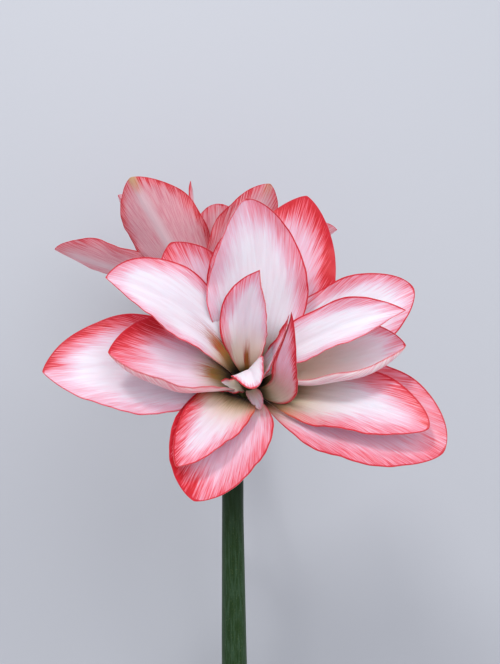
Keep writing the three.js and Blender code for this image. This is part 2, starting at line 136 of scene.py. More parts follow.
def makeStreakGroup():
    # strokes drawn out along a petal: noise whose grain is Width across the veins and Length along them
    group = bpy.data.node_groups.new("streaks", "ShaderNodeTree")
    defaults = {"Across": 0.0, "Along": 0.0, "Width": 1.0, "Length": 10.0, "Seed": 0.0}
    for name, default in defaults.items():
        socket = group.interface.new_socket(name, in_out="INPUT", socket_type="NodeSocketFloat")
        socket.default_value = default
    group.interface.new_socket("Value", in_out="OUTPUT", socket_type="NodeSocketFloat")
    given = group.nodes.new("NodeGroupInput").outputs
    across = calc(group, "DIVIDE", given["Across"], given["Width"])
    along = calc(group, "DIVIDE", given["Along"], given["Length"])
    place = addNode(group, "ShaderNodeCombineXYZ", {"X": across, "Y": along, "Z": given["Seed"]}).outputs[0]
    feeds = {"Vector": place, "Scale": 1.0, "Detail": 2.0, "Roughness": 0.5}
    noise = addNode(group, "ShaderNodeTexNoise", feeds).outputs["Fac"]
    spread = addNode(group, "ShaderNodeMapRange", {"Value": noise, "From Min": 0.25, "From Max": 0.75})
    group.links.new(spread.outputs[0], group.nodes.new("NodeGroupOutput").inputs["Value"])
    return group


streakGroup = makeStreakGroup()


def streaks(tree, across, along, width, length, seed):
    # 0 to 1, mostly near the middle; across, along, width and length in mm
    feeds = {"Across": across, "Along": along, "Width": width, "Length": length, "Seed": seed}
    return addNode(tree, "ShaderNodeGroup", feeds, node_tree=streakGroup).outputs["Value"]


def objectNoise(tree, scale, detail):
    # even noise through the piece, scale in grains to the metre
    place = addNode(tree, "ShaderNodeTexCoord").outputs["Object"]
    feeds = {"Vector": place, "Scale": scale, "Detail": detail}
    return addNode(tree, "ShaderNodeTexNoise", feeds).outputs["Fac"]


def newMaterial(name, roughness=0.5, subsurface=0.0, scale=0.002, sheen=0.0, specular=0.4):
    # what is the same all over a skin stands on the shader's own inputs
    material = bpy.data.materials.new(name)
    material.use_nodes = True
    tree = material.node_tree
    skin = tree.nodes["Principled BSDF"]
    settings = {"Roughness": roughness, "Subsurface Weight": subsurface, "Subsurface Scale": scale,
                "Subsurface Radius": (1.0, 0.55, 0.6), "Sheen Weight": sheen, "Specular IOR Level": specular}
    for key, value in settings.items():
        skin.inputs[key].default_value = value
    return material, tree, skin


def addRelief(tree, skin, height, distance, strength=1.0):
    # low relief, distance in metres
    bump = addNode(tree, "ShaderNodeBump", {"Height": height, "Distance": distance, "Strength": strength})
    tree.links.new(bump.outputs["Normal"], skin.inputs["Normal"])


petalLook = {
    "white": (233, 228, 240), "shade": (229, 220, 232), "creamAndShade": (228, 204, 176),  # clear middle; cream foot, partly own tone, partly painted shade
    "blush": (253, 219, 227), "pink": (251, 164, 176), "rose": (243, 84, 96), "crimson": (214, 20, 36),
    "olive": (148, 108, 34), "green": (146, 124, 56), "flame": (172, 50, 22), "dark": (22, 15, 5),  # throat; dark is painted shade in the hollow
    "tipGreen": (190, 170, 120),
    # red strokes in mm: fine and broad ones, and how far each throws the red's inner edge to and fro
    "lineWidth": 0.36, "lineLength": 12.0, "lineThrow": 4.2,
    "brushWidth": 2.2, "brushLength": 22.0, "brushThrow": 2.6,
    "ridgeWidth": 1.1, "ridgeLength": 30.0, "relief": 0.00012,  # lengthwise ridges: mm, mm and metres
}
# backs of the petals: face, veins and midrib, how much of the front's red shows through and how pink
# they are all over; line is the thin red edge, which shows on both sides
frontBack = {
    "face": (236, 222, 224), "vein": (228, 200, 210), "rib": (232, 226, 214),
    "red": 0.75, "blush": 0.02, "line": 0.75,
}
rearBack = {
    "face": (228, 176, 184), "vein": (218, 144, 158), "rib": (226, 200, 206),
    "red": 1.0, "blush": 0.12, "line": 0.3,
}
# how far apart the veins lie at the seat, and how much further by the tip
fanSeat, fanOpening = 0.3, 1.25
# what a petal's mesh tells its skin, see petalValues
colourWords = ("reach", "wash", "creamAndShadeReach", "footAndShadeReach", "throat", "lean", "bandWidth", "climb", "tipGreen")
petalReadings = ("along", "run", "margin", "fan", "force", "seed", "inner") + colourWords


def redStrokes(tree, told, fine, brush, look, line):
    # 0 to 1. Red falls away from the margin over the petal's reach, which the strokes throw to and
    # fro; a forceful side adds a hot band, the margin a thin line, and wash a haze all over.
    along, force = told["along"], told["force"]
    grain = calc(tree, "MULTIPLY_ADD", fine, 0.8, 0.55)
    middle = (look["lineThrow"] + look["brushThrow"]) / 2
    thrown = calc(tree, "MULTIPLY_ADD", brush, -look["brushThrow"], middle)
    thrown = calc(tree, "MULTIPLY_ADD", fine, -look["lineThrow"], thrown)
    thrown = product(tree, thrown, step(tree, told["reach"], 0.0, 12.0, 0.2, 1.0))
    reach = product(tree, told["reach"], step(tree, along, 0.1, 0.75, 0.3, 1.1))
    depth = calc(tree, "DIVIDE", calc(tree, "ADD", told["margin"], thrown), reach)
    stroke = product(tree, fade(tree, depth, -0.1, 1.0, 0.62), force, grain)
    hot = product(tree, fade(tree, depth, -0.25, 0.7), calc(tree, "SUBTRACT", force, 1.0, clamp=True))
    edge = product(tree, fade(tree, told["margin"], 0.1, 1.1, line), step(tree, force, 0.0, 0.8))
    red = calc(tree, "ADD", calc(tree, "ADD", stroke, hot), edge)
    haze = product(tree, told["wash"], grain, step(tree, along, 0.15, 0.5, 0.1, 1.0))
    return calc(tree, "MULTIPLY_ADD", red, step(tree, along, 0.1, 0.45, 0.3, 1.0), haze, clamp=True)


def frontColour(tree, told, fine, brush, tint, look):
    # clear white, cream towards the seat (partly the petal's own cream, partly painted shade in the cup),
    # tinted red;
    # then an olive band up the midrib with red flames beside it, a green foot, and painted shade for the dark
    # hollow of the tube
    clear = blend(tree, step(tree, brush, 0.3, 0.75), linear(*look["white"]), linear(*look["shade"]))
    inwards = calc(tree, "DIVIDE", told["along"], told["creamAndShadeReach"])
    # towards the seat: partly the petal's own cream throat, partly painted shade deep in the cup
    clear = blend(tree, fade(tree, inwards, 0.3, 1.0, 0.9), clear, linear(*look["creamAndShade"]))
    front = blend(tree, 1.0, clear, tint, "MULTIPLY")
    offBand = calc(tree, "ABSOLUTE", calc(tree, "SUBTRACT", told["sideways"], told["lean"]))
    offBand = calc(tree, "DIVIDE", offBand, told["bandWidth"])
    upBand = calc(tree, "DIVIDE", told["along"], told["climb"])
    band = product(tree, fade(tree, offBand, 0.6, 1.3), fade(tree, upBand, 0.6, 1.0))
    band = calc(tree, "MULTIPLY", band, told["throat"], clamp=True)
    front = blend(tree, band, front, linear(*look["olive"]))
    flame = product(tree, fade(tree, offBand, 0.9, 2.2), fade(tree, upBand, 0.55, 1.25), told["throat"])
    flame = calc(tree, "MULTIPLY", flame, step(tree, fine, 0.36, 0.62), clamp=True)
    front = blend(tree, product(tree, flame, 0.9), front, linear(*look["flame"]))
    # the green foot is the petal's own; below it painted shade darkens the hollow of the tube to near black
    foot = calc(tree, "MULTIPLY_ADD", fine, 0.03, calc(tree, "DIVIDE", told["along"], told["footAndShadeReach"]))
    front = blend(tree, fade(tree, foot, 0.1, 0.24, 0.85), front, linear(*look["green"]))
    return blend(tree, fade(tree, foot, 0.07, 0.19), front, linear(*look["dark"]))


def backColour(tree, told, fine, red, tint, look, back):
    # close veins, a pale midrib, the front's red showing through, a greenish tip and foot
    fromRib = calc(tree, "ABSOLUTE", told["sideways"])
    behind = blend(tree, step(tree, fine, 0.35, 0.7), linear(*back["face"]), linear(*back["vein"]))
    behind = blend(tree, fade(tree, fromRib, 0.8, 6.5, 0.8), behind, linear(*back["rib"]))
    through = calc(tree, "MULTIPLY_ADD", red, back["red"], back["blush"], clamp=True)
    behind = blend(tree, through, behind, blend(tree, 1.0, behind, tint, "MULTIPLY"))
    tip = product(tree, step(tree, told["along"], 0.86, 1.0), told["tipGreen"], fade(tree, fromRib, 1.0, 4.5))
    behind = blend(tree, tip, behind, linear(*look["tipGreen"]))
    return blend(tree, fade(tree, told["along"], 0.0, 0.26, 0.9), behind, linear(*look["green"]))


def petalMaterial(name, look, back):
    # front and back colours, told apart by the mesh, over satin skin with low lengthwise ridges
    material, tree, skin = newMaterial(name, subsurface=0.55, scale=0.003, sheen=0.05)
    told = {key: reading(tree, key) for key in petalReadings}
    widening = calc(tree, "MULTIPLY_ADD", told["along"], fanOpening, fanSeat)
    told["sideways"] = product(tree, told["fan"], widening)  # mm from the midrib, with its side
    fan, run = told["fan"], told["run"]
    fine = streaks(tree, fan, run, look["lineWidth"], look["lineLength"], told["seed"])
    brush = streaks(tree, fan, run, look["brushWidth"], look["brushLength"], told["seed"])
    red = redStrokes(tree, told, fine, brush, look, back["line"])
    reds = {0.0: (255, 255, 255), 0.18: look["blush"], 0.44: look["pink"], 0.76: look["rose"],
            1.0: look["crimson"]}
    tint = colourRamp(tree, red, [(place, linear(*colour)) for place, colour in reds.items()])
    front = frontColour(tree, told, fine, brush, tint, look)
    behind = backColour(tree, told, fine, red, tint, look, back)
    colour = blend(tree, step(tree, told["inner"], 0.3, 0.7), behind, front)
    tree.links.new(colour, skin.inputs["Base Color"])
    ridges = streaks(tree, fan, run, look["ridgeWidth"], look["ridgeLength"], 3.0)
    addRelief(tree, skin, ridges, look["relief"], 0.8)
    tree.links.new(step(tree, brush, 0.3, 0.7, 0.4, 0.54), skin.inputs["Roughness"])
    return material


frontSkin = petalMaterial("front petal skin", petalLook, frontBack)
rearSkin = petalMaterial("rear petal skin", petalLook, rearBack)
print("petal finishes made")


def soft(low, high, x):
    # soft step of x from low to high: three squares less two cubes
    t = np.clip((x - low) / (high - low), 0, 1)
    return t * t * (3 - 2 * t)


# the steps of the receptacle that petals sit on, outermost first: radius and height in mm
ring1 = {"r0": 9.5, "h0": 0}
ring2 = {"r0": 8, "h0": 2}
ring3 = {"r0": 6.5, "h0": 4}
ring4 = {"r0": 5, "h0": 6}
ring5 = {"r0": 3.4, "h0": 8}
centreBoss = {"r0": 1.8, "h0": 11}

plainPetal = {  # a petal when nothing else is said: angles in degrees, lengths in mm
    # midrib: where it points round the flower, how it bends sideways, how far it opens at the seat,
    # from turn on and at the tip, and its roll; at is the place round the ring, if not az
    "az": 0, "bend": 0, "a0": 20, "a1": 60, "a2": 70, "turn": 0.45, "roll": 0,
    # outline: width at the claw, place of the greatest width, how bluntly it ends, size of each half
    "length": 105, "width": 46, "base": 0.2, "wide": 0.58, "tip": 0.75, "full": 2.2, "left": 1, "right": 1,
    # across: crease at the midrib, bowl of each half, curl of each margin, ripple and its count
    "keel": 6, "cupL": 20, "cupR": 20, "edgeL": 0, "edgeR": 0, "wave": 1.5, "waves": 3,
    # flesh in the middle, at the margin and how wide the thin margin is; depth and width of the midrib
    # groove, fine waves of the margin, height and count of the veins
    "thick": 0.75, "thin": 0.3, "thinWidth": 5.0, "groove": 0.35, "grooveWidth": 1.3, "crimp": 0.16,
    "veinHeight": 0.05, "veins": 58,
    # colour: how far the strokes reach in, how red each side is, pink all over; how far cream runs up
    # from the seat (the petal's own cream and painted shade in the cup); how far the green foot and the
    # painted shade of the dark throat run up; the throat's band: strength, sideways shift and half width
    # in mm, how far it climbs; green at the tip of the back
    "reach": 11, "redL": 0.8, "redR": 0.8, "wash": 0.0, "creamAndShadeReach": 0.42, "footAndShadeReach": 1.0,
    "throat": 0.3, "lean": 0.0, "bandWidth": 2.0, "climb": 0.36, "tipGreen": 0.0,
}


def outline(p, s):
    # half width, 1 at the widest: a sine rise from the claw, then a fall to nothing at the tip
    rise = p["base"] + (1 - p["base"]) * np.sin(np.pi / 2 * np.clip(s / p["wide"], 0, 1)) ** 1.35
    q = np.clip((s - p["wide"]) / (1 - p["wide"]), 0, 1)
    return np.where(s < p["wide"], rise, (1 - q ** p["full"]) ** p["tip"])


def summed(values, axis):
    # running sum along an axis from 0, each step the mean of its two ends
    values = np.moveaxis(values, axis, 0)
    total = np.concatenate([0 * values[:1], np.cumsum((values[1:] + values[:-1]) / 2, 0)])
    return np.moveaxis(total, 0, axis)


def midribLine(p, s):
    # place along the midrib: the sum of unit steps whose opening angle spreads from a0 to a1 to a2;
    # with it the directions across and through the petal, turned by roll
    opening = np.radians(p["a0"] + (p["a1"] - p["a0"]) * soft(0, p["turn"], s)
                         + (p["a2"] - p["a1"]) * soft(p["turn"] * 0.8, 1, s))
    az = np.radians(p["az"] + p["bend"] * s ** 1.5)
    along = np.stack([np.sin(opening) * np.cos(az), np.sin(opening) * np.sin(az), np.cos(opening)], 1)
    seat = np.radians(p.get("at", p["az"]))
    start = np.array([p["r0"] * np.cos(seat), p["r0"] * np.sin(seat), p["h0"]])
    place = start + summed(along, 0) * p["length"] / (len(s) - 1)
    across = np.stack([-np.sin(az), np.cos(az), 0 * az], 1)
    through = np.cross(along, across)
    c, n = np.cos(np.radians(p["roll"])), np.sin(np.radians(p["roll"]))
    return place, across * c + through * n, through * c - across * n


def halfSection(p, s, v, cup, edge):
    # out and up from the midrib to v, as parts of the half width: sums of the cosine and sine of an
    # angle that grows with v by crease, bowl and margin curl; the seat is bent round its ring instead
    steps, creaseWidth, seatEnd, curlStart = 48, 0.12, 0.3, 0.6
    at = np.linspace(0, 1, steps + 1)[None]
    spread = soft(0, seatEnd, s)[:, None]
    ringBend = np.degrees(p["base"] * p["width"] / 2 / p["r0"])
    crease = p["keel"] * np.tanh(at / creaseWidth) * spread
    bowl = (cup * spread + ringBend * (1 - spread)) * at
    curl = edge * spread * soft(curlStart, 1, at)
    angle = np.radians(crease + bowl + curl)
    i = np.minimum((v * steps).astype(int), steps - 1)
    f = v * steps - i
    out, up = (summed(a, 1) / steps for a in (np.cos(angle), np.sin(angle)))
    return out[:, i] * (1 - f) + out[:, i + 1] * f, up[:, i] * (1 - f) + up[:, i + 1] * f


def petalSurface(p, s, v):
    # middle surface over s (seat to tip) and v (margin to margin): midrib, plus the half section times
    # the half width on each side, plus a ripple that grows as v squared
    fineS = np.linspace(0, 1, 65)
    centre, sideways, upwards = (np.stack([np.interp(s, fineS, a[:, k]) for k in range(3)], 1)
                                 for a in midribLine(p, fineS))
    half = outline(p, s) * p["width"] / 2
    swell = np.sin(np.pi * s) ** 0.7 * soft(0.1, 0.4, s)
    points = np.zeros((len(s), len(v), 3))
    sides = ((1, p["cupR"], p["edgeR"], p["right"], 0), (-1, p["cupL"], p["edgeL"], p["left"], 140))
    for side, cup, edge, part, lag in sides:
        mine = v > 0 if side > 0 else v <= 0
        out, up = halfSection(p, s, np.abs(v[mine]), cup, edge)
        wave = (p["wave"] * np.sin(2 * np.pi * p["waves"] * s + np.radians(lag)) * swell)[:, None]
        h = (half * part)[:, None]
        points[:, mine] = (centre[:, None] + side * (out * h)[..., None] * sideways[:, None]
                           + (up * h + wave * v[mine][None] ** 2)[..., None] * upwards[:, None])
    return points


def surfaceNormals(points):
    # unit cross product of the two directions of the grid
    n = np.cross(np.gradient(points, axis=0), np.gradient(points, axis=1))
    size = np.linalg.norm(n, axis=2, keepdims=True)
    n = n / np.maximum(size, 1e-9)
    n[-1] = n[-2, n.shape[1] // 2]  # the tip row is one point
    return n


def flowerAxes(axis):
    # x, y and z of a flower as rows, z along its axis
    z = np.array(axis, float) / np.linalg.norm(axis)
    x = np.array([1.0, 0, 0]) - z[0] * z
    x /= np.linalg.norm(x)
    return np.stack([x, np.cross(z, x), z])


def makeObject(name, points, faces, values, material, replaced):
    # a smooth piece in place of the plain one, with values at its points for the skin to read
    mesh = bpy.data.meshes.new(name)
    mesh.from_pydata(laidDown(points).tolist(), [], faces)
    for key, data in values.items():
        attribute = mesh.attributes.new(key, "FLOAT", "POINT")
        attribute.data.foreach_set("value", np.ascontiguousarray(data, dtype=np.float32).ravel())
    mesh.polygons.foreach_set("use_smooth", np.ones(len(mesh.polygons), bool))
    mesh.materials.append(material)
    mesh.update()
    piece = bpy.data.objects.new(name, mesh)
    scene.collection.objects.link(piece)
    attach(piece, "root")
    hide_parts(replaced)
    return piece


def facets(*corners):
    # one face for each place in the arrays of corner numbers
    return np.stack([c.ravel() for c in np.broadcast_arrays(*corners)], 1).tolist()


def closedSheet(middle, normals, thickness):
    # two faces half the thickness either side of the middle surface, joined round the rim, each
    # coming to one point at the tip
    rows, columns = middle.shape[0] - 1, middle.shape[1]
    layers = []
    for side in (1, -1):
        face = middle + side * (thickness / 2)[..., None] * normals
        layers += [face[:rows].reshape(-1, 3), face[rows, columns // 2][None]]
    upper = np.arange(rows * columns).reshape(rows, columns)
    upperTip = rows * columns
    lower = upper + upperTip + 1
    lowerTip = 2 * upperTip + 1
    faces = facets(upper[:-1, :-1], upper[1:, :-1], upper[1:, 1:], upper[:-1, 1:])
    faces += facets(lower[:-1, :-1], lower[:-1, 1:], lower[1:, 1:], lower[1:, :-1])
    faces += facets(upper[1:, 0], upper[:-1, 0], lower[:-1, 0], lower[1:, 0])
    faces += facets(upper[:-1, -1], upper[1:, -1], lower[1:, -1], lower[:-1, -1])
    faces += facets(upper[0, :-1], upper[0, 1:], lower[0, 1:], lower[0, :-1])
    faces += facets(upper[-1, :-1], upperTip, upper[-1, 1:])
    faces += facets(lower[-1, :-1], lower[-1, 1:], lowerTip)
    faces += facets(upperTip, upper[-1, 0], lower[-1, 0], lowerTip)
    faces += facets(upper[-1, -1], upperTip, lowerTip, lower[-1, -1])
    return np.concatenate(layers), faces


def sheetValues(pairs, columns):
    # from each value's upper and lower grid to the points of a closed sheet
    values = {}
    for key, pair in pairs.items():
        layers = [np.r_[grid[:-1].ravel(), grid[-1, columns // 2]] for grid in pair]
        values[key] = np.concatenate(layers)
    return values


def between(s, low, high, fall):
    # along a petal: 0 at low, 1 from high to fall, 0 again at the tip
    return (soft(low, high, s) * soft(1.0, fall, s))[:, None]


def petalRelief(p, s, v, fromRib, number):
    # heights in mm: a groove along the midrib that falls off as a bell curve, the sum of a quick and a
    # slower wave near the margins, other ones on each petal and side, and low veins between
    groove = -p["groove"] * np.exp(-(fromRib / p["grooveWidth"]) ** 2) * between(s, 0.12, 0.3, 0.8)
    phase = number * 1.7 + np.where(v > 0, 0.0, 2.1)[None]
    quick, slower = np.sin(s[:, None] * 71 + phase), np.sin(s[:, None] * 43 + 2.3 * phase)
    crimp = p["crimp"] * (quick + 0.7 * slower)
    crimp = crimp * soft(0.72, 1.0, np.abs(v))[None] * between(s, 0.15, 0.4, 0.85)
    veins = p["veinHeight"] * np.cos(v * p["veins"])[None] * between(s, 0.1, 0.3, 0.75)
    return groove + crimp + veins


def petalValues(p, s, v, fromRib, fromMargin, number):
    # what the skin reads, for the front and the back: places in mm, the petal's own colour words, and
    # fan, which is the same all along one vein
    flat = np.ones_like(fromRib)
    force = p["redL"] + (p["redR"] - p["redL"]) * soft(-0.4, 0.4, v)
    values = {"along": s[:, None] * flat, "run": s[:, None] * p["length"] * flat, "margin": fromMargin,
              "fan": np.sign(v)[None] * fromRib / (fanSeat + fanOpening * s[:, None]),
              "force": force[None] * flat, "seed": number * 3.1 * flat}
    for key in colourWords:
        values[key] = p[key] * flat
    both = {key: (grid, grid) for key, grid in values.items()}
    return {**both, "inner": (flat, 0 * flat)}


def makePetal(name, flower, own, number, material, rows=92, columns=49):
    # the middle surface with its relief, given flesh and laid on its flower; rows close up towards the
    # tip and columns towards the margins
    p = {**plainPetal, **own}
    t = np.linspace(0, 1, rows + 1)
    s = 1 - (1 - t) ** 1.5
    u = np.linspace(-1, 1, columns)
    v = np.sign(u) * (1 - (1 - np.abs(u)) ** 1.25)
    half = outline(p, s)[:, None] * p["width"] / 2 * np.where(v > 0, p["right"], p["left"])[None]
    fromRib = half * np.abs(v)[None]
    fromMargin = np.minimum(half - fromRib, (1 - s)[:, None] * p["length"] * 0.7)
    middle = petalSurface(p, s, v)
    middle = middle + petalRelief(p, s, v, fromRib, number)[..., None] * surfaceNormals(middle)
    thickness = p["thin"] + (p["thick"] - p["thin"]) * soft(0.0, p["thinWidth"], fromMargin)
    points, faces = closedSheet(middle, surfaceNormals(middle), thickness)
    points = points @ flowerAxes(flower["axis"]) + np.array(flower["throat"])
    values = sheetValues(petalValues(p, s, v, fromRib, fromMargin, number), columns)
    return makeObject(name, points, faces, values, material, name)


frontFlower = {"throat": (8.6, 19, 69), "axis": (0, 0.454, 0.891)}
rearFlower = {"throat": (-18, 60, -32), "axis": (-0.1, 0.87, -0.48)}

# petals roughly from the middle out; what isn't said here is as in plainPetal
frontPetals = {
    "front_petaloid_folded": {
        **ring5, "at": -43, "az": -27, "bend": 110, "a0": 43, "a1": -3, "a2": 28, "length": 84,
        "width": 24, "base": 0.05, "wide": 0.38, "tip": 0.95, "full": 1.08, "left": 1.25, "right": 0.2,
        "keel": -17, "cupL": 35, "cupR": 60, "roll": 46, "wave": 0.5,
        "reach": 5, "redL": 1.12, "redR": 1.1, "wash": 0.25, "throat": 0, "creamAndShadeReach": 0.6, "footAndShadeReach": 1.1,
    },
    "front_petaloid_behind": {
        **ring5, "at": -20, "az": 26, "bend": 25, "a0": 29, "a1": 19, "a2": 10, "length": 65,
        "width": 24, "base": 0.1, "wide": 0.38, "tip": 1.1, "full": 1, "right": 0.71, "cupL": 0,
        "cupR": 40, "roll": -50, "wave": 0.5,
        "reach": 5, "redL": 1.1, "redR": 1.1, "wash": 0.15, "throat": 0, "creamAndShadeReach": 0.3, "footAndShadeReach": 1.4,
    },
    "front_petaloid_upright": {
        **ring5, "az": 95, "bend": -38, "a1": 34, "a2": 29, "length": 69, "width": 30, "base": 0.1,
        "wide": 0.57, "tip": 1.1, "cupL": 56, "cupR": 10, "edgeL": 24,
        "reach": 9, "redL": 0.75, "redR": 1.0, "wash": 0.0, "throat": 1.3, "creamAndShadeReach": 0.6, "footAndShadeReach": 1.0,
        "bandWidth": 1.2, "climb": 0.36,
    },
    "front_petaloid_lobed": {
        **centreBoss, "at": 107, "az": 283, "a0": 0, "a1": 17, "a2": 72, "length": 44, "width": 19.6,
        "base": 0.28, "wide": 0.57, "tip": 0.4, "full": 1.2, "cupL": 14, "cupR": 10, "roll": 23,
        "wave": 0.4,
        "reach": 3, "redL": 0.9, "redR": 0.5, "throat": 0, "creamAndShadeReach": 0.2,
    },
    "front_petaloid_strap": {
        **ring5, "az": 286, "a1": 44, "a2": 64, "length": 28, "width": 8, "base": 0.25, "wide": 0.55,
        "tip": 0.6, "wave": 0,
        "reach": 3, "redL": 0.2, "redR": 0.3, "wash": 0.1, "throat": 0, "creamAndShadeReach": 0.9,
    },
    "front_petal_right_inner": {
        **ring5, "az": 17, "bend": -22, "a1": 50, "a2": 64, "length": 102, "width": 27, "base": 0.1,
        "wide": 0.62, "tip": 1, "cupL": 29, "cupR": 34,
        "reach": 8, "redL": 0.5, "redR": 0.85, "creamAndShadeReach": 0.25, "throat": 0.1,
    },
    "front_petal_right_curled": {
        **ring4, "az": -6, "bend": 12, "a0": 31, "a1": 60, "a2": 60, "length": 91, "width": 38,
        "base": 0.1, "wide": 0.68, "tip": 0.7, "cupL": 46, "cupR": 36, "edgeL": 110,
        "reach": 9, "redL": 0.7, "redR": 0.9, "creamAndShadeReach": 0.95, "throat": 0.1, "wash": 0.03,
    },
    "front_petal_left_curled": {
        **ring4, "az": 184, "a1": 60, "a2": 58, "length": 84, "width": 50, "base": 0.08, "cupR": 35,
        "edgeR": 80,
        "reach": 20, "redL": 1.3, "redR": 0.75, "wash": 0.14, "throat": 1.7, "creamAndShadeReach": 0.35, "footAndShadeReach": 2.3,
        "bandWidth": 3.4, "climb": 0.4, "lean": 1.0,
    },
    "front_petaloid_curl": {
        **ring5, "at": 230, "az": 210, "a1": 42, "a2": 52, "length": 28, "width": 10, "base": 0.15,
        "wide": 0.4, "wave": 0.8,
        "reach": 3, "redL": 0.6, "redR": 0.7, "throat": 0, "creamAndShadeReach": 0.9,
    },
    "front_petal_top_inner": {
        **ring3, "az": 78, "bend": 32, "a1": 53, "a2": 47, "length": 100, "width": 56, "base": 0.1,
        "wide": 0.52, "tip": 0.63, "full": 1.6, "cupL": 28, "cupR": 29, "groove": 0.7,
        "reach": 15, "redL": 0.95, "redR": 0.5, "throat": 1.0, "creamAndShadeReach": 0.4, "bandWidth": 1.8,
        "climb": 0.5, "footAndShadeReach": 1.2,
    },
    "front_petal_upper_left_inner": {
        **ring4, "at": 122, "az": 136, "bend": 55, "a1": 52, "a2": 57, "length": 103, "width": 39,
        "base": 0.14, "wide": 0.66, "tip": 0.9, "cupL": 5, "cupR": 28,
        "reach": 9, "redL": 0.85, "redR": 0.55, "throat": 1.0, "creamAndShadeReach": 0.42, "footAndShadeReach": 1.6, "lean": 2.6,
        "bandWidth": 2.6, "climb": 0.46, "wash": 0.03,
    },
    "front_petal_lower_right_inner": {
        **ring3, "az": -21, "bend": -13, "a0": 46, "a1": 61, "a2": 73, "length": 103, "width": 39,
        "base": 0.17, "wide": 0.47, "tip": 0.63, "cupL": 14, "cupR": 12,
        "reach": 15, "redL": 0.9, "redR": 1.12, "throat": 0.1, "creamAndShadeReach": 0.7, "footAndShadeReach": 1.9, "wash": 0.04,
    },
    "front_petal_bottom_inner": {
        **ring3, "az": 244, "bend": -5, "a1": 58, "a2": 64, "length": 84, "width": 32, "base": 0.13,
        "wide": 0.45, "cupL": 12, "cupR": 26,
        "reach": 12, "redL": 1.15, "redR": 0.8, "throat": 0.1, "creamAndShadeReach": 0.7, "footAndShadeReach": 2.4, "wash": 0.08,
    },
    "front_petal_top_left_inner": {
        **ring2, "az": 97, "a1": 58, "a2": 57, "length": 83, "width": 34, "base": 0.1, "cupR": 10,
        "reach": 14, "redL": 0.9, "redR": 0.9, "wash": 0.08, "creamAndShadeReach": 0.3,
    },
    "front_petal_right_outer": {
        **ring2, "az": 21, "a1": 66, "a2": 67, "length": 102, "width": 46, "tip": 0.6, "cupL": 8,
        "reach": 10, "redL": 0.8, "redR": 1.0, "wash": 0.0,
    },
    "front_petal_bottom_outer": {
        **ring2, "az": 252, "a1": 66, "a2": 72, "length": 89, "width": 50, "wide": 0.52, "tip": 0.6,
        "reach": 16, "redL": 1.3, "redR": 0.8, "wash": 0.2,
    },
    "front_petal_upper_left_outer": {
        **ring1, "at": 124, "az": 122, "a1": 65, "a2": 64, "length": 85, "width": 46, "base": 0.12,
        "reach": 12, "redL": 1.0, "redR": 1.0, "wash": 0.2,
    },
    "front_petal_top_outer": {
        **ring1, "az": 69, "bend": 4, "a1": 70, "a2": 62, "length": 105, "width": 60, "wide": 0.42,
        "cupL": 0, "cupR": 4,
        "reach": 15, "redL": 1.4, "redR": 1.25, "wash": 0.22,
    },
    "front_petal_lower_right_outer": {
        **ring1, "az": -23, "bend": -14, "a0": 36, "a1": 71, "a2": 79, "length": 110, "width": 58,
        "wide": 0.54, "tip": 0.6, "cupL": 10, "cupR": 8,
        "reach": 15, "redL": 0.8, "redR": 0.75, "wash": 0.2, "footAndShadeReach": 1.0,
    },
    "front_petal_left_outer": {
        **ring1, "az": 180, "bend": 15, "a1": 74, "a2": 74, "length": 110, "width": 57, "wide": 0.52,
        "tip": 0.8, "cupL": 12, "cupR": 12,
        "reach": 14, "redL": 1.3, "redR": 0.5, "wash": 0.03, "creamAndShadeReach": 0.3,
    },
}
for number, (name, own) in enumerate(frontPetals.items()):
    makePetal(name, frontFlower, own, number, frontSkin)
print("front flower:", len(frontPetals), "petals")

